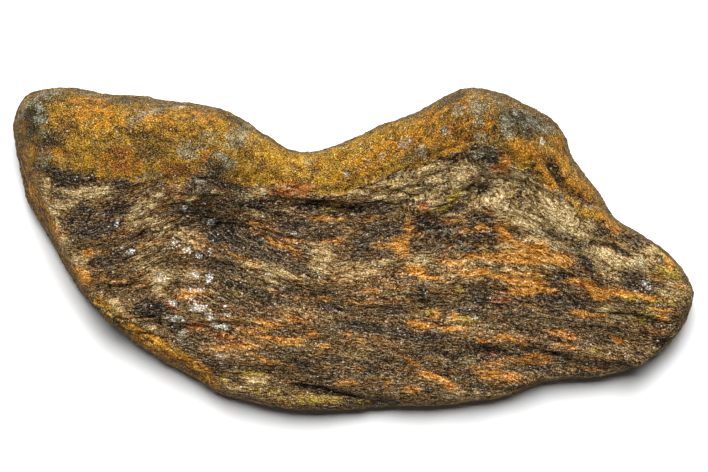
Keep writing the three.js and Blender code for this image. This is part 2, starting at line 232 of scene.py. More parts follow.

# The bone, its colours: browns of mineral-filled bone, cut by black manganese, cream unstained bone, rust
# that follows the grain, and a grey film and white crystals here and there on the crust and the face.
# Each stain is a soft patch: x and y, half length and half width in millimetres, turn in degrees, strength.
# Black manganese: broad blots on the crests; thin dark runs laid along the cracks and splits.
dark_patches = [
    (-92, 38, 7, 3, 80, 0.6), (-88, 31, 3, 2, 0, 0.5), (-89, 27, 3, 2, -60, 0.6),
    (-87, 22.5, 3.5, 2, -25, 0.9), (-83, 20, 4, 2.2, 0, 1), (-76, 21, 1.5, 1.5, 0, 0.9),
    (-67, 19, 2.5, 1.2, 0, 0.9), (-86, 16, 3, 1, -20, 0.6), (-78, 12, 3, 2.5, 10, 0.8),
    (-68, 12.5, 4.5, 2.5, 5, 0.9), (-81, 10, 2, 2, 0, 0.6), (-76, 6, 8, 2.2, 5, 1),
    (-70, 8, 4, 2, 10, 0.8), (-67, -1, 4, 1.8, 15, 0.9), (-73, -3.5, 4, 1.5, 20, 0.8),
    (-63, 3, 2.5, 1.5, 20, 0.5), (-60, -16, 5, 2.5, 15, 0.7), (-57, -18, 5, 1.5, 20, 0.6),
    (-52, -23, 3, 2, 0, 0.6), (-49, -27, 4, 2, -20, 0.6), (-42, -32.5, 2.5, 1.3, -20, 0.8),
    (-38, -34, 3, 1, -5, 0.7), (-35, -38, 2, 1.3, 0, 0.7), (-44, 18.5, 3.6, 2, 10, 0.9),
    (-39, 20, 2.2, 1.6, -40, 0.9), (-43, 14.5, 3.4, 1.2, 20, 0.95), (-48, 13, 2, 1.6, 40, 0.8),
    (-45, 10, 8, 3, -15, 0.7), (-40, 23, 3, 2.5, 0, 0.7), (-38, 13, 3, 1.5, -30, 0.8),
    (-34, 18, 3.5, 1.5, -25, 0.9), (-33, 14, 3, 1.5, -20, 0.9), (-28, 14, 4, 1.5, -10, 1),
    (-40, 8, 7, 3, -20, 0.9), (-36, 2, 7, 3, -15, 0.9), (-29, 3, 4, 2, -15, 0.8),
    (-27, -1, 6, 2, -15, 0.8), (-44, -1.5, 4, 1, -15, 0.7), (-37, -5, 5, 2.5, -10, 0.8),
    (-24, -1.5, 5, 3, 0, 0.7), (-34, -10.5, 5, 1.5, -12, 0.9), (-28, -13, 5, 1.8, -20, 1),
    (-22, -15, 5, 1.2, -12, 0.7), (-24, 16.5, 2.5, 1.2, 0, 0.9), (-18, 8, 6, 2.5, -15, 0.8),
    (-12, 12.5, 2.5, 1.2, 0, 0.9), (-9, 14.5, 4, 1, 5, 0.6), (-3, 14.5, 3, 1, 0, 0.6),
    (2, 12.5, 5, 1.6, 0, 0.9), (8, 12, 4, 1.4, 5, 0.8), (2, 9, 2.5, 1, 0, 0.6), (-21, 4, 3, 1, 0, 0.6),
    (-8, 5, 5, 1.5, 0, 0.6), (8, 6, 6, 2, 5, 0.8), (3, 1.5, 6, 2.5, 0, 0.7), (8, -1, 6, 1, 0, 0.6),
    (-2, -2, 4, 1, 0, 0.5), (-15, -2.5, 2, 2.5, -50, 0.6), (-15, -6, 8, 1.5, -20, 0.6),
    (-8, -12, 3, 1, 0, 0.8), (-1, -14, 5, 1, 0, 0.7), (-18, -11.5, 4, 1.5, -10, 0.6),
    (-6, -17, 5, 1.5, -5, 0.6), (2, -22.5, 7, 1.8, -8, 1), (12, -24, 6, 1.2, -10, 0.9),
    (22, -25.5, 8, 1, -2, 0.9), (-18, -29.5, 5, 1.2, -10, 0.7), (-15, -33, 4, 1.5, -10, 0.6),
    (-12, -40.5, 6, 1, -5, 1), (-2, -42.5, 6, 1, -12, 0.9), (8, -44.5, 5, 1, -8, 0.8),
    (-23, -45, 2, 1, 0, 0.7), (25, 7, 8, 2, 3, 0.9), (38, 9.5, 3, 1.2, 0, 0.8), (32, 4, 10, 2, 0, 0.7),
    (40, 4.5, 1.7, 1.3, 0, 0.9), (33, 0.5, 3, 1, 0, 0.7), (15, 11, 4, 1.5, 10, 0.5),
    (20, 19.5, 2, 1, 20, 0.6), (24, 18.5, 4, 1.3, 15, 0.8), (27, 17.5, 1.5, 1, 0, 0.8),
    (30, 12, 3, 1.3, 20, 0.8), (38, 27, 3.5, 2.2, -10, 0.9), (33, 27, 2, 1.2, -30, 0.7),
    (38, 18, 3, 3, 0, 0.6), (37, 23.5, 2.5, 1.2, -40, 0.7), (43, 27.5, 1, 1, 0, 0.8),
    (44, 20, 1, 0.8, 0, 0.8), (48, 17, 3, 0.8, 45, 1), (48.5, 14, 1, 1.5, 0, 0.6),
    (53, 16, 1, 3, 20, 0.6), (52, 13, 0.7, 1.5, 0, 0.7), (47, 38, 6, 3, -10, 0.7), (50, 35, 3, 3, 0, 0.6),
    (54, 37, 4, 4, -30, 0.7), (44, 41, 4, 1.5, 0, 0.6), (58.5, 24, 1.3, 3.5, 25, 1),
    (55, 27.5, 1.5, 1, 0, 0.7), (60, 21, 1.5, 1, -30, 1), (58, 5, 4, 1.2, -15, 0.9),
    (62, 4, 2, 1, -20, 0.8), (65, 1.5, 3, 2, 0, 0.7), (72, 1.5, 4, 0.7, -15, 0.8),
    (78, -1, 4, 0.8, -20, 0.9), (83, 2, 3, 1.5, -15, 0.9), (72, 5.5, 2, 1, 0, 0.7),
    (79, 3, 3, 1.2, -20, 0.5), (68, -4.5, 3, 1.3, -50, 0.9), (60, -8, 4, 1.3, 5, 0.8),
    (57, -9, 3, 1, 0, 0.6), (82, -8, 5, 3, -10, 0.8), (82, -10.5, 4, 1.5, -10, 0.9),
    (88, -10, 2, 1, 0, 0.6), (62, -15, 8, 2, -10, 0.7), (55, -17, 8, 3, -10, 0.6),
    (43, -16, 8, 2.5, -5, 0.6), (22, -13, 6, 2.5, -10, 0.6), (35, -14.5, 5, 1.3, -5, 0.7),
    (47, -19, 8, 1.5, -5, 0.6), (67, -21.5, 8, 1.5, -5, 0.6), (78, -23.8, 4, 0.8, 0, 0.9),
    (85, -24, 2, 0.8, -15, 0.9), (62, -27, 5, 1, -12, 0.5), (57, -29.8, 9, 0.9, -5, 0.45),
    (41, -28.8, 2, 0.8, -10, 0.6), (40, -30.5, 2, 1, 0, 1), (27, -36.5, 2, 1, -10, 0.7),
    (22, -41, 1.5, 1, 0, 0.7), (35, -40, 5, 1.3, -12, 0.7), (71, -33, 4, 1, 8, 0.9),
    (69, -26, 3, 1, 0, 0.4), (75, -28, 3, 1, -10, 0.4), (90, -27, 2.5, 1.5, 0, 0.7),
    (84, -31, 3, 1, -20, 0.7), (80, -33, 4, 0.8, 5, 0.8), (35, -18, 6, 1.5, -5, 0.5),
    (10, -17.5, 7, 1.2, -5, 0.5), (-84, 34, 5, 3, 40, 0.5), (-61, 33, 8, 1.2, -12, 0.5),
    (-72, 42, 8, 1.4, -8, 0.45), (-52, 34.5, 5, 1, -20, 0.5), (-30, 27, 7, 1.3, -35, 0.35),
    # The last four patches are broad and faint: they make the low front of the face and the back of the
    # right lobe darker.
    (-58, 27, 6, 1.4, 10, 0.3), (5, -35, 30, 7, -5, 0.3), (45, -33, 35, 6, -3, 0.46),
    (60, -22, 30, 5, -8, 0.3), (42, 38, 18, 8, -5, 0.32),
]
# Cream bone that was never stained, and rubbed, paler ground on the crust.
pale_bone = [
    (-12, 23.5, 10, 4, 5, 0.6), (-28, 30, 6, 2, -40, 0.4), (-68, 37, 5, 1.5, -5, 0.5),
    (-77, 31, 3, 1.2, 30, 0.5), (10, 27, 8, 2.5, 28, 0.4), (50, -4, 12, 6, -8, 0.5),
    (48, 14, 14, 7, -22, 0.5), (77, -1, 14, 5, -22, 0.5), (62, 20, 10, 3, -45, 0.5),
    (-89, 19, 1.0, 6, 20, 0.6), (-84, 24.5, 5, 1.6, -25, 0.9), (-80, 25, 2.5, 1.2, -30, 0.7),
    (-87, 11, 1.2, 6, 20, 0.6), (-84, 3, 1.5, 3, 20, 0.6), (-80, -3, 3, 2, -40, 0.7),
    (-79, 16.5, 5, 1.7, -5, 0.9), (-83, 13.5, 4, 2, 0, 0.8), (-73, 17, 4, 1.6, 0, 0.8),
    (-69, -16.5, 2.5, 1.5, -40, 1), (-59, -22.5, 1.6, 1.1, 0, 0.9), (-63, 8, 5, 3, 25, 0.5),
    (-58, 14, 4, 1, 45, 0.7), (-63, 12, 3, 1, 45, 0.8), (-46.5, 16, 3, 0.8, 50, 0.9),
    (-40.5, 17, 2.5, 0.7, -30, 0.8), (-56, 7, 6, 2, -15, 0.6), (-48, 4, 6, 2, -25, 0.5),
    (-56, -8, 4, 2.5, 0, 0.7), (-57, -12, 3, 1.5, -30, 0.6), (-60, -4, 6, 2, 10, 0.5),
    (-48, -7, 5, 2, -10, 0.5), (-30, 11, 5, 0.9, -20, 0.8), (-33, 16.5, 4, 0.9, -20, 0.7),
    (-27, 17.5, 4, 1, -5, 0.7), (-28, -4, 6, 1.2, -8, 0.8), (-22, -7, 6, 1.5, -12, 0.7),
    (-10, -3.5, 4, 4, 0, 0.8), (-23, -9.5, 5, 1, -25, 0.7), (0, -6, 8, 3, 0, 0.5),
    (8, -4, 5, 1.5, 0, 0.5), (-2, 17, 6, 1, 3, 0.7), (8, 15.5, 4, 1.3, 15, 0.8), (7, 19, 5, 1, 15, 0.7),
    (15, 19, 5, 3, 10, 0.8), (22, 16.5, 6, 1.2, 15, 0.8), (30, 15.5, 4, 1.5, 35, 0.7),
    (30, 10.5, 5, 0.9, 10, 0.9), (22, 22, 6, 2.5, 25, 0.7), (30, 24, 6, 1.5, 30, 0.7),
    (45, 18, 6, 5, 0, 0.9), (37, 14, 5, 2, 20, 0.7), (49, 22, 5, 1.5, -35, 1), (54, 16, 5, 3, -50, 1),
    (53, 12, 5, 2, -20, 0.9), (60, 11, 6, 2.5, -40, 1), (60, 8, 5, 1.5, -20, 0.9),
    (60, 1.5, 5, 1.5, -15, 0.9), (53, 3.5, 3, 1.5, -10, 0.9), (69, 7, 3, 1.5, -20, 0.9),
    (67, -1, 4, 1.5, -15, 0.9), (75, -2, 6, 2.5, -15, 0.9), (84, -3, 4, 2, -15, 0.9),
    (74, -6.5, 6, 2, -20, 0.8), (86, 0, 4, 1, -25, 0.7), (50, -5.5, 3, 0.9, 0, 0.9),
    (52, -7.5, 2, 0.9, 0, 0.8), (44, 1, 3, 1, 0, 0.8), (43, -3.5, 3, 1, -10, 0.7), (20, -3, 4, 2, 0, 0.6),
    (33, -5, 6, 2, -8, 0.6), (42, 14, 7, 3, -5, 0.8), (48, 10, 7, 3, -25, 0.8), (56, 7, 6, 3, -28, 0.9),
    (63, 6, 5, 2.5, -25, 0.8), (71, 1.5, 6, 2.5, -25, 0.9), (79, -3, 6, 3, -15, 0.9),
    (18, 18.5, 9, 3, 15, 0.75), (29, 20, 8, 3.5, 25, 0.8), (37, 22, 4, 3, 30, 0.7),
    (93, -9, 4, 2, -50, 0.8), (84, -6, 6, 2, -20, 0.7), (24, 13.5, 7, 1.2, 12, 0.7),
    (30, -8, 6, 1, -5, 0.6), (76, -16.5, 5, 1, -8, 0.7), (72, -17.5, 4, 0.9, -10, 0.7),
    (75, -21, 2, 1.5, 0, 0.7), (67, -30, 8, 1, -12, 0.7), (80, -20, 4, 0.9, -8, 0.6),
    (92, -13, 5, 1, -20, 0.7), (95, -12, 3, 2.5, -45, 0.8), (-28, -38, 4, 1.5, -5, 0.7),
    (-35, -41, 4, 1, 0, 0.7), (28, -43, 4, 0.8, 10, 0.8), (42, -42.5, 5, 0.8, 5, 0.9),
    (34, -43.5, 4, 0.8, 12, 0.8), (60, -37.5, 6, 0.8, 3, 0.8), (75, -36, 4, 0.8, 8, 0.8),
    (30, -20.5, 5, 0.8, 0, 0.7), (3, -29, 4, 1.5, -5, 0.5), (0, -31, 5, 1, -8, 0.6),
    (25, -32, 3, 1, 0, 0.5), (34, -32, 3, 1.5, 0, 0.6),
]
# Rust and orange iron stains, strong on the right lobe and in the runs of fibre under it.
orange_stains = [
    (-77, 41, 6, 4, 0, 0.6), (-72, 38, 6, 3, 0, 0.5), (-84, 28, 4, 1.3, 0, 0.9),
    (-68, 25, 6, 3.5, 0, 0.8), (-55, 38, 8, 3, 0, 0.5), (-46, 38, 8, 3, -5, 0.5),
    (-55, 25, 1.5, 1, 0, 0.8), (5, 26, 10, 3, 30, 0.6), (14, 31, 10, 3, 25, 0.8), (27, 33, 8, 3, 25, 0.9),
    (22, 38, 6, 2, 25, 0.7), (30, 31, 6, 1.5, 30, 0.9), (31, 42, 2, 1.5, 0, 0.7),
    (35, 35, 6, 2.5, 0, 0.7), (50, 28, 6, 2.5, -30, 1), (44, 26, 2, 3, 0, 0.9), (56, 24, 3, 4, -60, 0.9),
    (56, 33, 2, 3, 0, 0.9), (60, 29, 2, 4, 0, 0.8), (58, 18, 5, 2, -40, 0.8), (64, 18, 6, 2, -45, 0.9),
    (68, 16, 5, 2, -45, 0.8), (70, 12, 4, 2, -30, 0.6), (75, 7, 4, 1, -30, 0.7), (16, 6, 2, 3, 0, 0.8),
    (14, 1, 2.5, 3, 0, 0.9), (18, -6, 3, 1.5, -15, 0.9), (14, -7, 1, 2, 0, 0.7),
    (28, 8.3, 5, 0.7, 2, 0.9), (37, 6.5, 2, 1, 0, 1), (43, 6.5, 3, 1, 0, 0.9), (44, 4, 2.5, 1.5, -20, 1),
    (50, 1, 5, 1.5, -10, 1), (47, -2.5, 7, 2, -5, 1), (52, -2.5, 4, 2, 0, 1), (55, 0, 3, 3, 0, 1),
    (59, -2.5, 4, 2, -10, 1), (62, -3.5, 2, 1.5, 0, 0.9), (36, -2, 6, 1, 0, 0.7),
    (30, -4, 5, 0.9, -8, 0.8), (32, -6.5, 5, 0.8, -12, 0.9), (22, -8, 6, 0.8, -12, 0.9),
    (38, -6, 3, 1, -10, 0.9), (43, -8, 6, 0.9, -12, 1), (50, -7, 5, 0.8, -8, 0.9),
    (52, -9.5, 6, 1, -3, 1), (50, -12, 6, 1, 0, 1), (55, -12, 4, 0.9, 0, 1), (62, -9, 2, 0.9, 0, 1),
    (65, -9, 2, 1, 0, 1), (69, -10, 3, 1.3, -15, 1), (74, -12, 5, 1.3, -5, 1), (72, -14, 3, 0.8, 0, 0.8),
    (78, -13, 4, 0.8, -10, 0.9), (86, -14, 6, 0.8, -8, 0.8), (67, -18.5, 4, 0.8, -8, 1),
    (72, -19.3, 2, 0.7, -5, 0.9), (60, -24, 4, 0.8, -5, 0.9), (63, -25.5, 2, 0.7, -15, 0.9),
    (77, -26.5, 1.7, 0.8, -10, 1), (62, -28, 4, 0.8, -15, 0.9), (90, -18, 3, 1, -10, 0.8),
    (91, -20.5, 3, 0.8, -10, 0.7), (88, -8, 3, 1, -20, 0.6), (95, -10.5, 2, 0.8, -20, 0.8),
    (92, -4, 1.5, 2.5, 20, 0.7), (44, -26, 3, 0.8, -5, 1), (49, -27.5, 3, 0.8, -10, 1),
    (38, -26.5, 3, 0.7, -10, 0.9), (48, -32, 5, 1, -5, 0.8), (54, -32, 5, 1.5, -5, 0.9),
    (42, -33.5, 4, 1, -5, 1), (40, -36.5, 4, 1.5, 0, 1), (46, -37.5, 3, 1.3, 0, 1),
    (36, -34.5, 2, 0.8, -5, 0.8), (18, -33, 3, 0.9, -25, 0.9), (22, -37, 3, 0.9, -25, 1),
    (26, -38.5, 3, 0.9, -25, 1), (17, -41, 3, 1, -10, 0.8), (28, -40, 2, 0.8, -20, 1),
    (20, -22, 5, 0.9, -12, 0.9), (28, -23, 5, 0.8, -5, 0.7), (30, -19.5, 1.2, 1, 0, 0.9),
    (24, -19.5, 2, 0.8, 0, 0.7), (-2, -24.5, 1.5, 1.5, 0, 0.7), (2, -26.5, 2, 0.8, -10, 0.6),
    (-12, -24.5, 2, 0.8, 0, 0.7), (-8, -28, 2, 0.8, 0, 0.6), (-20, -26.5, 6, 1.2, 0, 0.7),
    (-25, -26, 5, 1, 0, 0.6), (-28, -24, 4, 1.5, 0, 0.5), (-22, -33.5, 4, 1, -20, 0.6),
    (-27, -32, 4, 1, -20, 0.6), (-18, -34.5, 2, 0.9, -10, 0.6), (-2, -39, 4, 0.9, -3, 0.7),
    (-8, -34, 2, 0.8, 0, 0.4), (2, -35, 2, 0.7, 0, 0.6), (10, -39, 1, 0.7, 0, 0.9),
    (-25, -21.5, 4, 0.9, -5, 0.6), (-18, -20.5, 5, 1, -5, 0.4), (-2, -14, 4, 0.8, -5, 0.6),
    (2, -15.5, 5, 0.8, -5, 0.5), (-8, -14.5, 3, 0.8, -5, 0.6), (6, -12, 4, 0.7, 0, 0.6),
    (-8, 9, 6, 0.8, 0, 0.6), (3, 8.5, 4, 0.8, 0, 0.6), (-5, 2.5, 5, 0.7, 0, 0.6), (8, 1, 3, 0.9, 0, 1),
    (-22, 1.5, 6, 0.8, -20, 0.7), (-25, 3, 5, 0.9, -30, 0.7), (-28, 7, 4, 0.8, -15, 0.6),
    (-17, 2.5, 5, 1, -5, 0.5), (-16, -2, 2, 2, -60, 0.4), (-28, 4.5, 3, 0.8, -20, 0.6),
    (-38, 1, 2.5, 0.9, 0, 0.6), (-35, -1.5, 4, 0.8, -25, 0.7), (-31, -3, 3, 0.7, -10, 0.6),
    (-44, 2, 3, 2, -30, 0.4), (-28, -4.5, 2, 0.9, 0, 0.6), (-20, 9, 5, 0.7, -8, 0.5),
    (-30, -23, 6, 1, -5, 0.6), (-35, -26, 6, 1.2, -10, 0.6), (-38, -28.5, 6, 1, 0, 0.5),
    (-33, -28, 5, 1.5, 0, 0.6), (-47, -12, 4, 1.5, -10, 0.6), (-50, -14, 3, 1, 0, 0.5),
    (-60, -28, 5, 1.2, -30, 1), (-53, -31, 6, 1.5, -22, 1), (-47, -33.5, 6, 1.8, -30, 1),
    (-64, -24, 3, 1.2, -30, 1), (-57, -27, 4, 1, -40, 1), (-43, -37, 4, 1.2, -45, 0.9),
    (-78, -8, 2.5, 1.5, -50, 1), (-80, -6, 1.5, 1.5, 0, 0.7), (-88, 7, 1.3, 5, 30, 1),
    (-90, 12, 1.2, 4, 25, 0.8), (-93, 17, 1.2, 4, 20, 0.8), (-96, 27, 1.2, 6, 5, 0.6),
    (-95, 36, 2, 2, 0, 0.7), (-84, -3, 1, 5, 30, 0.8), (-77, -1, 1.6, 1.2, 0, 0.9),
    (-72, -8, 6, 1, 15, 0.4), (-64, -11, 4, 0.9, 20, 0.4), (-65, -8.5, 6, 0.9, 15, 0.4),
]
# Redder iron, in crumbly spots.
red_stains = [
    (-50, 23, 3.5, 2, 0, 0.9), (-53, 22, 1.5, 1.5, 0, 0.8), (-46.5, 22, 1.5, 1.5, 0, 0.8),
    (-43, 26.5, 1.3, 1, 0, 0.8), (-67, 28, 3, 2, 0, 0.7), (-67, 24, 3, 1.5, 0, 0.7),
    (-16, 18.5, 5, 2, -3, 0.8), (-20, 16.5, 4, 1, -10, 0.7), (-53, -16, 2.5, 1, -10, 1),
    (-46, -22.5, 3, 1, -10, 0.7), (-38, -26, 5, 0.8, -25, 0.7), (-33, -27.5, 4, 0.7, -5, 0.7),
    (21, 13, 3, 0.9, 15, 0.8), (42, 24, 2, 1, 0, 0.7), (43, -14.5, 3, 0.7, 0, 1),
    (66, -10.5, 2, 1, 0, 0.6), (28, -40, 2, 0.8, -30, 0.7), (40, -31, 2, 0.8, 0, 0.8),
    (63, -25, 2, 0.7, -15, 0.7), (-25, 6, 3, 0.8, -20, 0.5),
]
# A thin grey film, bluish beside the orange.
grey_film = [
    (-62, 38, 3.5, 1.1, 35, 1), (-57, 40.5, 4, 1.3, 15, 0.9), (-50, 41.5, 4, 1, 0, 0.5),
    (-95, 42, 4, 1, 25, 1), (-97, 39, 1.5, 1, 0, 0.7), (-89, 45, 5, 1.2, 10, 0.6),
    (-77, 46, 3, 1, 0, 0.8), (-90, 38, 1.6, 4, 10, 0.7), (-48, 28.5, 3, 2, 0, 1),
    (-43, 30.5, 4, 1.5, 0, 0.7), (-50, 31, 3, 1, 0, 0.6), (-34, 32, 3, 2.5, 45, 0.9),
    (-32, 35, 3, 1.5, 20, 0.9), (-38, 27, 2.5, 1.4, -20, 1), (-36, 25, 2, 1, 0, 0.6),
    (-42, 33, 3, 1, 0, 0.5), (-57, 22, 2, 0.9, 0, 0.9), (-60, 21.5, 3, 1, 20, 0.7),
    (-45, 20.5, 2.5, 1, -30, 0.7), (-89, 26, 2, 2, 0, 0.6), (30, 40.5, 1.6, 1.6, 0, 1),
    (36, 41, 2.5, 2.5, 0, 1), (35.5, 37, 1.3, 2, 0, 0.9), (26, 34, 1.5, 1.2, 0, 1),
    (37, 32, 2, 1.5, 0, 0.9), (42, 42.5, 4, 1, -25, 0.7), (44, 37, 3, 1.6, 30, 1), (48, 40, 3, 1, 0, 0.7),
    (52, 37, 2.5, 2, 0, 0.9), (56, 35, 3, 1.5, -10, 1), (45, 33, 2, 1.5, 0, 0.7), (38, 28, 3, 2, 0, 0.6),
    (20, 28, 3, 2, 20, 0.6), (15, 31, 2, 1.5, 30, 0.7), (9, 27.5, 2, 1, 30, 0.7),
    (12, 21.5, 3, 0.9, 20, 0.7), (-12, 26, 2, 0.9, 0, 0.6), (27, 6, 2, 1, 0, 0.8), (22, 5, 2, 1, 10, 0.7),
    (31, 1.5, 2, 1, 0, 0.7), (21, -2.5, 2, 1.5, 0, 0.6), (68, 13, 2.5, 1.1, -35, 0.7),
    (60, 15.5, 2.5, 1.3, -45, 0.8), (65, 1, 2, 1.5, 0, 0.5), (84, -3.5, 2, 1.5, 0, 0.7),
    (-53, -20, 3, 1, 0, 0.7), (-50, -25, 3, 2, -20, 0.5),
]
# White crystals in small crusts.
white_crystals = [
    (-68.5, 8, 0.8, 0.8, 0, 1), (-64.5, -0.5, 1, 0.8, 0, 1), (-48.5, 0, 1, 0.7, 0, 1),
    (-45.3, -1.3, 1, 0.7, 0, 1), (-41.5, -0.5, 0.8, 0.7, 0, 0.9), (-41.3, 8.2, 0.8, 0.7, 0, 1),
    (-48.5, 12.5, 0.7, 0.7, 0, 1), (-31.3, 13.2, 0.7, 0.6, 0, 1), (-52, 1.5, 1.4, 0.8, 0, 0.6),
    (-46.5, -7.3, 1.7, 1.1, 0, 0.9), (-42.4, -8.2, 1.2, 1, 0, 1), (-56, -8, 1.8, 1.4, 0, 0.6),
    (-46, -11.8, 2.8, 0.6, 0, 0.8), (-52.5, -15.5, 1.6, 0.8, -30, 0.9), (-45.5, -17, 1.8, 1.1, 0, 0.9),
    (-43.5, -16.8, 1.2, 0.8, 0, 0.8), (-41.8, -19, 1.4, 1.1, -10, 1), (-40, -21.3, 1.5, 0.9, -50, 1),
    (-38, -22.5, 1, 0.8, -40, 0.9), (-52, -20, 2, 0.9, 0, 0.6), (-38, -16.5, 0.9, 0.6, 0, 0.7),
    (-37, -18.8, 0.9, 0.6, 0, 0.7), (-47.5, -14.8, 1, 0.6, 0, 0.7), (-38.5, -30.8, 1.4, 0.6, 0, 0.9),
    (-17.7, 4.8, 0.7, 0.6, 0, 0.9), (-24.5, -7, 1.2, 0.7, -40, 0.7), (85, -9.7, 0.8, 0.7, 0, 1),
    (86, -11.3, 1, 0.6, 0, 0.8), (54, 31.2, 0.8, 0.8, 0, 1), (-2, 22, 0.8, 0.7, 0, 0.9),
    (35.4, -20, 0.7, 0.6, 0, 0.9),
]
# Yellow ochre along the thin edges and in a few runs of fibre.
yellow_film = [
    (-10, -44, 9, 1.3, -3, 0.7), (2, -45, 3, 0.9, -5, 0.7), (-30, -36, 5, 1.5, 0, 0.5),
    (-25, -42, 6, 1.5, 0, 0.5), (-38, -38, 4, 1.5, -20, 0.6), (92, -3, 3, 1.5, -40, 0.9),
    (92, -7, 4, 1.3, -20, 0.9), (90, -5.5, 2, 1, -20, 0.8), (95, -6, 1.5, 1.5, 0, 0.8),
    (84, -14, 8, 0.9, -8, 0.9), (90, -15.5, 5, 0.9, -10, 0.8), (88, -18, 4, 1.5, 0, 0.5),
    (29, 15.5, 3, 1, 30, 0.9), (26, 12, 4, 0.9, 20, 0.7), (-7, 13.5, 3, 0.8, -10, 0.9),
    (-8, 11.5, 2, 1.3, 0, 0.8), (31, -11.5, 1, 0.9, 0, 0.9), (22, -18.5, 1.2, 1, 0, 0.8),
    (33, -20.5, 4, 0.8, 3, 0.7), (56, -8, 4, 1, 0, 0.7), (70, -29, 2, 0.9, -10, 0.9),
    (84, -20.5, 1.6, 1, 0, 0.8), (-31, -13, 5, 0.9, -20, 0.7), (-20, -28.5, 5, 0.9, 5, 0.5),
    (12, 20, 3, 1, 20, 0.5), (-90, 30, 1.2, 1, 0, 0.6),
]
# Olive weathering on the outer corners.
olive_film = [
    (-92, 38, 6, 4, 80, 0.9), (-89, 32, 4, 3, 0, 0.7), (-97, 33, 1.5, 8, 0, 0.6),
    (-88, 44, 6, 2, 10, 0.7), (28, 44.5, 6, 1.5, 30, 0.8), (45, 44.5, 8, 1.3, -20, 0.8),
    (48, 36, 7, 4, -15, 0.8), (58, 38, 5, 1.5, -40, 0.7), (-65, 43.5, 10, 1, -4, 0.7),
    (-36, 39, 6, 1, -30, 0.8), (-40, 24, 5, 3, 0, 0.7), (38, 28, 5, 3, 0, 0.8), (86, 3, 5, 1.2, -28, 0.8),
    (96, -14, 2.5, 5, 20, 0.5), (-79, -14, 6, 1.2, -45, 0.8), (-71, -20, 6, 1.3, -35, 0.8),
    (17, 27, 5, 2, 25, 0.5), (-58, 28, 5, 2, 0, 0.4), (-72, 32, 6, 1.5, 0, 0.4),
    (74, -34, 8, 1.5, 8, 0.6),
]

drift_x = x + 0.9 * noise_at(places, (6, 5, 5), 18)
drift_y = y + 0.5 * noise_at(places, (6, 4, 4), 19) + 0.3 * noise_at(places, (2, 2, 2), 20)


def stain(patches):
    """How strongly each point is stained: the strongest of the patches that reach it."""
    strength = np.zeros(len(x))
    for middle_x, middle_y, long, wide, turn, amount in patches:
        lean = math.radians(turn)
        u = ((drift_x - middle_x) * math.cos(lean) + (drift_y - middle_y) * math.sin(lean)) / long
        v = ((drift_y - middle_y) * math.cos(lean) - (drift_x - middle_x) * math.sin(lean)) / wide
        strength = np.maximum(strength, amount * np.exp(-0.7 * (u * u + v * v) ** 1.5))
    return strength * upward


def keep(name, values, kind="FLOAT"):
    """Stores a value for each point of the bone under a name that the material reads."""
    store = bone.data.attributes.new(name, kind, "POINT")
    field = "vector" if kind == "FLOAT_VECTOR" else "value"
    store.data.foreach_set(field, np.asarray(values, float).ravel())


relief_span = 2.4
keep("fibre", fibre, "FLOAT_VECTOR")
# The relief height, kept for the colour, where it paints shade into the hollows and light onto the raised
# parts.
keep("shade_from_relief", np.clip(0.5 + relief / relief_span, 0, 1))
keep("crust", crust)
keep("turned_skin_and_shade", turned_skin_and_shade)
keep("arris", arris)
keep("spongy", spongy)
keep("beds", np.column_stack((y, arris_gap, z)), "FLOAT_VECTOR")
keep("dark", stain(dark_patches))
keep("pale", stain(pale_bone))
keep("orange", stain(orange_stains))
keep("red", stain(red_stains))
keep("grey", stain(grey_film))
keep("white", stain(white_crystals))
keep("yellow", stain(yellow_film))
keep("olive", stain(olive_film))
# The wall is the bevel outside the arris, as far along as the arris runs.
wall_end = -36
arris_x, arris_y = np.array(arris_line).T
outside = (x < wall_end) * eased(np.interp(x, arris_x, arris_y) - y, 0.3, 1.6)
keep("wall", outside * upward)

stone = bpy.data.materials.new("fossil_bone")
stone.use_nodes = True
tree = stone.node_tree
surface = tree.nodes["Principled BSDF"]


def add(kind, inputs=(), **settings):
    """A node with its settings, and its inputs given a value or joined to an output."""
    made = tree.nodes.new("ShaderNode" + kind)
    for name, value in settings.items():
        setattr(made, name, value)
    for socket, value in dict(inputs).items():
        if isinstance(value, bpy.types.NodeSocket):
            tree.links.new(value, made.inputs[socket])
        else:
            made.inputs[socket].default_value = value
    return made


def sums(operation, first, second=0.0, third=0.0):
    """What a sum of up to three values gives."""
    return add("Math", {0: first, 1: second, 2: third}, operation=operation).outputs[0]


def kept(name):
    """A value stored for each point of the bone."""
    return add("Attribute", attribute_name=name).outputs["Fac"]


def veins(vector, size, detail, roughness=0.6, seed=0.0):
    """Noise from 0 to 1 with features of the given size in millimetres along, across and through."""
    start = (seed, seed * 1.7, seed * 0.6)
    spread = add("Mapping", {0: vector, "Location": start, "Scale": [1 / s for s in size]})
    inputs = {"Vector": spread.outputs[0], "Scale": 1.0, "Detail": detail, "Roughness": roughness}
    return add("TexNoise", inputs).outputs[0]


def rise(value, low, high, least=0.0, most=1.0):
    """A smooth rise from the least to the most as a value goes from low to high."""
    inputs = {"Value": value, "From Min": low, "From Max": high, "To Min": least, "To Max": most}
    return add("MapRange", inputs, interpolation_type="SMOOTHSTEP").outputs[0]


stain_edge = 0.45


def ragged_mask(amount, grain, bite, soft=0.25):
    """A stain's amount, eaten into by the grain so that its edge breaks up."""
    moved = sums("MULTIPLY_ADD", sums("SUBTRACT", grain, 0.5), bite, amount)
    eaten = rise(moved, stain_edge - soft, stain_edge + soft)
    return sums("MULTIPLY", eaten, rise(amount, 0.05, 0.3))


def paint(red, green, blue):
    """A screen colour from 0 to 255 as the light that it stands for."""
    shares = [value / 255 for value in (red, green, blue)]
    return [s / 12.92 if s <= 0.04 else ((s + 0.055) / 1.055) ** 2.4 for s in shares] + [1]


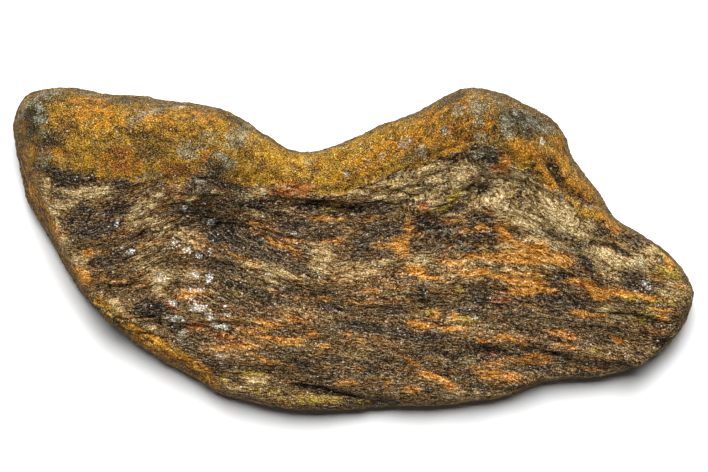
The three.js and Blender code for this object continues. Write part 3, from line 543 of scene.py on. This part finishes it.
def shades(tone, stops):
    """A colour for each tone from 0 to 1, from dark to light."""
    ramp = add("ValToRGB", {0: tone})
    ramp.color_ramp.interpolation = "LINEAR"
    for at, colour in stops[1:-1]:
        ramp.color_ramp.elements.new(at).color = paint(*colour)
    for end, (at, colour) in ((0, stops[0]), (-1, stops[-1])):
        ramp.color_ramp.elements[end].position = at
        ramp.color_ramp.elements[end].color = paint(*colour)
    return ramp.outputs[0]


def over(mask, below, above):
    """One colour laid over another as far as the mask says."""
    mixed = add("Mix", {0: mask, 6: below, 7: above}, data_type="RGBA")
    return mixed.outputs[2]


screen_gamma = 2.2
darkest = (0.05, 0.045, 0.035)


def shaded(colour, amount):
    """A colour made lighter or darker by an amount, as the eye sees it, with its tint kept."""
    seen = add("Gamma", {0: colour, 1: 1 / screen_gamma}).outputs[0]
    moved = add("VectorMath", {0: seen, 1: amount}, operation="ADD").outputs[0]
    moved = add("VectorMath", {0: moved, 1: darkest}, operation="MAXIMUM").outputs[0]
    return add("Gamma", {0: moved, 1: screen_gamma}).outputs[0]


fibre_line = add("Attribute", attribute_name="fibre").outputs["Vector"]
metres = add("TexCoord").outputs["Object"]
place = add("VectorMath", {0: metres, 3: millimetres}, operation="SCALE").outputs[0]
waver = add("TexNoise", {"Vector": place, "Scale": 0.25, "Detail": 1.0}).outputs["Color"]
waver = add("VectorMath", {0: waver, 1: (0.5, 0.5, 0.5)}, operation="SUBTRACT").outputs[0]
waver = add("VectorMath", {0: waver, 3: 1.2}, operation="SCALE").outputs[0]
along_fibre = add("VectorMath", {0: fibre_line, 1: waver}, operation="ADD").outputs[0]

hair = veins(along_fibre, (1.5, 0.42, 0.42), 1.5, 0.8)
strand = veins(along_fibre, (5.5, 1.3, 1.3), 3, 0.7, 11)
band = veins(along_fibre, (24, 4.0, 4.0), 3, 0.6, 23)
speck = veins(place, (0.36, 0.36, 0.36), 1, 0.9, 5)
mottle = veins(place, (2.6, 2.6, 2.6), 3, 0.65, 31)
clay = veins(place, (8, 6, 6), 3, 0.6, 61)
shade_from_relief = kept("shade_from_relief")
blots = veins(place, (2.4, 2.0, 2.0), 3, 0.65, 43)
bite = add("Mix", {0: kept("spongy"), 2: strand, 3: blots}, data_type="FLOAT").outputs[0]
beds = add("Attribute", attribute_name="beds").outputs["Vector"]
bedded = veins(beds, (7, 1.0, 1.0), 3, 0.7, 53)


def toned(base, *shifts):
    """A base tone shifted by noises, each taken from its middle, by its weight."""
    for value, weight in shifts:
        base = sums("MULTIPLY_ADD", sums("SUBTRACT", value, 0.5), weight, base)
    return base


def hairlines(noise_value, width):
    """Thin lines, from 0 to 1, where a noise crosses its middle."""
    return rise(sums("ABSOLUTE", sums("SUBTRACT", noise_value, 0.5)), width, 0.0)


# Tone of the bare bone: painted shade in the splits and painted light on the ridges, threaded with light
# and dark fibre.
light_thread = hairlines(veins(along_fibre, (7, 1.3, 1.3), 2, 0.6, 71), 0.04)
dark_split = hairlines(veins(along_fibre, (18, 2.0, 2.0), 4, 0.6, 83), 0.03)
crackle = hairlines(veins(along_fibre, (3.2, 1.5, 1.5), 3, 0.7, 97), 0.035)
bare_tone = toned(0.4, (bite, 0.42), (band, 0.05), (shade_from_relief, 0.3))
pale_mask = ragged_mask(kept("pale"), bite, 2.1, 0.36)
bare_tone = sums("MULTIPLY_ADD", pale_mask, 0.17, bare_tone)
dark_mask = ragged_mask(kept("dark"), bite, 3.2, 0.24)
orange_mask = ragged_mask(kept("orange"), bite, 1.8, 0.36)
bare_tone = sums("MULTIPLY_ADD", dark_mask, -0.1, bare_tone)
bare_tone = sums("MULTIPLY_ADD", orange_mask, 0.15, bare_tone)
bare_tone = sums("MULTIPLY_ADD", kept("arris"), 0.06, bare_tone)
umber = [
    (0.0, (20, 13, 5)), (0.25, (50, 36, 16)), (0.45, (88, 67, 34)),
    (0.6, (122, 96, 55)), (0.8, (164, 138, 90)), (1.0, (214, 198, 158)),
]
cream = [
    (0.0, (34, 25, 10)), (0.3, (98, 78, 44)), (0.5, (146, 121, 75)),
    (0.7, (184, 160, 112)), (1.0, (226, 210, 172)),
]
rust = [
    (0.0, (38, 23, 5)), (0.3, (114, 70, 16)), (0.5, (160, 99, 14)),
    (0.7, (182, 117, 18)), (1.0, (206, 150, 48)),
]
ochre = [
    (0.0, (28, 21, 4)), (0.3, (86, 67, 16)), (0.5, (138, 113, 34)),
    (0.7, (182, 156, 68)), (1.0, (222, 206, 136)),
]
black = [
    (0.0, (11, 9, 6)), (0.35, (31, 26, 18)), (0.6, (60, 52, 38)),
    (0.8, (106, 93, 68)), (1.0, (176, 162, 128)),
]
colour = shades(bare_tone, umber)
warmth = rise(veins(along_fibre, (9, 1.8, 1.8), 3, 0.6, 47), 0.44, 0.68, 0.0, 0.34)
colour = over(warmth, colour, shades(bare_tone, rust))
colour = over(sums("MULTIPLY", pale_mask, 0.8), colour, shades(bare_tone, cream))
colour = over(ragged_mask(kept("yellow"), strand, 2.5, 0.3), colour, shades(bare_tone, ochre))
colour = over(sums("MULTIPLY", orange_mask, 0.8), colour, shades(bare_tone, rust))
colour = over(sums("MULTIPLY", dark_mask, 0.6), colour, shades(bare_tone, black))

# Tone of the crust: sand grains of many shades, gold, buff, orange and olive, with pits between them.
# The relief height paints shade and light on the crust: darker in the pits, lighter on the raised grains.
sand_tone = toned(0.405, (mottle, 0.95), (shade_from_relief, 0.6))
sand_tone = sums("MULTIPLY_ADD", kept("pale"), 0.08, sand_tone)
sand_tone = sums("MULTIPLY_ADD", kept("dark"), -0.32, sand_tone)
# Painted shade: the crust is darker where the surface turns away from up.
sand_tone = sums("MULTIPLY_ADD", kept("turned_skin_and_shade"), -0.1, sand_tone)
sand_tone = sums("MULTIPLY_ADD", kept("olive"), -0.1, sand_tone)
bed_shift = sums("MULTIPLY", sums("SUBTRACT", bedded, 0.5), kept("wall"))
sand_tone = sums("MULTIPLY_ADD", bed_shift, 1.6, sand_tone)
sand = [
    (0.0, (44, 28, 0)), (0.3, (112, 77, 5)), (0.5, (160, 118, 13)),
    (0.7, (190, 148, 30)), (1.0, (226, 194, 100)),
]
amber = [
    (0.0, (40, 22, 0)), (0.3, (108, 66, 3)), (0.5, (160, 104, 8)),
    (0.7, (188, 130, 18)), (1.0, (224, 178, 76)),
]
buff = [
    (0.0, (44, 31, 10)), (0.3, (106, 78, 28)), (0.5, (152, 118, 48)),
    (0.7, (188, 154, 78)), (1.0, (226, 204, 145)),
]
olive = [
    (0.0, (26, 20, 6)), (0.3, (68, 53, 20)), (0.55, (108, 89, 40)),
    (0.8, (150, 131, 76)), (1.0, (204, 192, 150)),
]
iron = [
    (0.0, (34, 14, 4)), (0.35, (100, 48, 12)), (0.6, (146, 77, 22)),
    (0.8, (178, 108, 42)), (1.0, (214, 162, 100)),
]
slate = [
    (0.0, (26, 25, 18)), (0.35, (78, 76, 58)), (0.6, (122, 119, 94)),
    (0.8, (166, 163, 138)), (1.0, (220, 218, 202)),
]
tint = veins(place, (1.3, 1.3, 1.3), 3, 0.7, 91)
crusted = shades(sand_tone, sand)
buff_ground = rise(toned(0.5, (clay, 0.8), (tint, 1.0)), 0.47, 0.66, 0.0, 0.85)
crusted = over(buff_ground, crusted, shades(sand_tone, buff))
amber_ground = rise(toned(0.5, (clay, -0.8), (mottle, 0.7)), 0.5, 0.75, 0.0, 0.5)
crusted = over(amber_ground, crusted, shades(sand_tone, amber))
# Olive from the olive patches and on the wall, and painted as shade on the sides that turn away from up.
olive_wall_and_turned_shade = sums("MAXIMUM", kept("olive"), sums("MULTIPLY", sums("MAXIMUM", kept("wall"), kept("turned_skin_and_shade")), 0.5))
crusted = over(ragged_mask(olive_wall_and_turned_shade, mottle, 3.5, 0.25), crusted, shades(sand_tone, olive))
bright_bed = rise(toned(0.5, (bedded, 1.0)), 0.5, 0.6, 0.0, 0.8)
crusted = over(sums("MULTIPLY", bright_bed, kept("wall")), crusted, shades(sand_tone, rust))
flamed = ragged_mask(kept("orange"), mottle, 3.5, 0.3)
crusted = over(flamed, crusted, shades(sums("MULTIPLY_ADD", flamed, 0.03, sand_tone), amber))

sandy_ground = sums("MAXIMUM", sums("MAXIMUM", kept("crust"), kept("turned_skin_and_shade")), kept("wall"))
crust_mask = ragged_mask(sandy_ground, strand, 2.0, 0.15)
colour = over(crust_mask, colour, crusted)
crumbs = toned(0.5, (mottle, 0.6), (tint, 0.6))
red_mask = ragged_mask(kept("red"), crumbs, 4.0, 0.25)
# Painted shade and light from the relief height: the iron is darker low in the relief and lighter high on
# it.
iron_tone = toned(0.4, (mottle, 1.3), (shade_from_relief, 0.4))
colour = over(sums("MULTIPLY", red_mask, 0.75), colour, shades(iron_tone, iron))
grey_mask = ragged_mask(kept("grey"), crumbs, 4.5, 0.25)
colour = over(sums("MULTIPLY", grey_mask, 0.6), colour, shades(toned(0.53, (mottle, 1.2)), slate))

# The finest grain: hairs and specks that differ in lightness only.
bare_grain = toned(0.0, (hair, 1.1), (speck, 1.25))
bare_grain = sums("MULTIPLY_ADD", light_thread, 0.09, bare_grain)
bare_grain = sums("MULTIPLY_ADD", dark_split, -0.12, bare_grain)
bare_grain = sums("MULTIPLY_ADD", sums("MULTIPLY", crackle, pale_mask), -0.16, bare_grain)
sandy_grain = toned(0.0, (hair, 0.4), (speck, 1.55))
wall_grain = sums("MULTIPLY", sums("SUBTRACT", tint, 0.5), kept("wall"))
sandy_grain = sums("ADD", wall_grain, sandy_grain)
grain = add("Mix", {0: crust_mask, 2: bare_grain, 3: sandy_grain}, data_type="FLOAT").outputs[0]
colour = shaded(colour, grain)

# White crystals in thick, ragged spots in a few places, and painted glints: tiny white specks sprinkled
# everywhere.
cells = add("TexVoronoi", {"Vector": place, "Scale": 2.0}, feature="F1")
chance = add("SeparateColor", {0: cells.outputs["Color"]}).outputs[0]
grain_of_white = rise(cells.outputs["Distance"], 0.6, 0.35)
clump = ragged_mask(kept("white"), tint, 4.5, 0.2)
likely = sums("MULTIPLY_ADD", clump, 0.75, chance)
crystal_and_glint = sums("MULTIPLY", grain_of_white, rise(likely, 0.988, 0.992))
crystal_and_glint = sums("MULTIPLY", crystal_and_glint, sums("MULTIPLY_ADD", clump, 0.45, 0.55))
crystal_and_glint = sums("MAXIMUM", crystal_and_glint, sums("MULTIPLY", clump, 0.16))
colour = over(crystal_and_glint, colour, paint(240, 238, 228))
tree.links.new(colour, surface.inputs["Base Color"])

gloss = rise(speck, 0.3, 0.7, 0.72, 0.95)
gloss = sums("MULTIPLY_ADD", crystal_and_glint, -0.25, gloss)
tree.links.new(gloss, surface.inputs["Roughness"])
surface.inputs["Specular IOR Level"].default_value = 0.14

bare_bump = sums("MULTIPLY_ADD", strand, 0.5, sums("MULTIPLY", hair, 0.3))
sandy_bump = sums("MULTIPLY", speck, 0.4)
bumps = add("Mix", {0: crust_mask, 2: bare_bump, 3: sandy_bump}, data_type="FLOAT").outputs[0]
bump = add("Bump", {"Height": bumps, "Strength": 1.0, "Distance": 0.0014})
tree.links.new(bump.outputs[0], surface.inputs["Normal"])

bone.data.materials.append(stone)
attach(bone, "root")
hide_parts("frill_bone")


# The floor: a plain sheet of white board under the piece, larger than the view.
# It is not part of the object.
board = bmesh.new()
bmesh.ops.create_grid(board, x_segments=1, y_segments=1, size=4.0)
floor_mesh = bpy.data.meshes.new("floor")
board.to_mesh(floor_mesh)
board.free()
floor = bpy.data.objects.new("floor", floor_mesh)
bpy.context.scene.collection.objects.link(floor)
white = bpy.data.materials.new("white_board")
white.use_nodes = True
board_surface = white.node_tree.nodes["Principled BSDF"]
board_surface.inputs["Base Color"].default_value = (0.97, 0.97, 0.97, 1)
board_surface.inputs["Roughness"].default_value = 0.9
board_surface.inputs["Specular IOR Level"].default_value = 0.1
floor_mesh.materials.append(white)


# The studio: one large soft light high behind the piece and a white room round it.
# The shadow falls softly in front of the piece, narrow and dark where it touches the floor.
lamp_data = bpy.data.lights.new("softbox", "AREA")
lamp_data.shape = "RECTANGLE"
lamp_data.size = 0.8
lamp_data.size_y = 0.9
lamp_data.energy = 35
lamp = bpy.data.objects.new("softbox", lamp_data)
bpy.context.scene.collection.objects.link(lamp)
lamp.location = (0.0, 0.62, 1.17)
lamp.rotation_euler = (-lamp.location).to_track_quat("-Z", "Y").to_euler()

room = bpy.data.worlds.new("room")
room.use_nodes = True
room.node_tree.nodes["Background"].inputs["Color"].default_value = (1, 1, 1, 1)
room.node_tree.nodes["Background"].inputs["Strength"].default_value = 0.03
bpy.context.scene.world = room
bpy.context.scene.view_settings.view_transform = "Standard"

# The camera looks straight down on the piece from a little over a metre, through a long lens.
lens = bpy.data.cameras.new("overhead")
lens.sensor_width = 36
lens.lens = 200
camera = bpy.data.objects.new("overhead", lens)
bpy.context.scene.collection.objects.link(camera)
camera_height = 1.167
camera.location = (0.00015, 0.004, camera_height)
bpy.context.scene.camera = camera
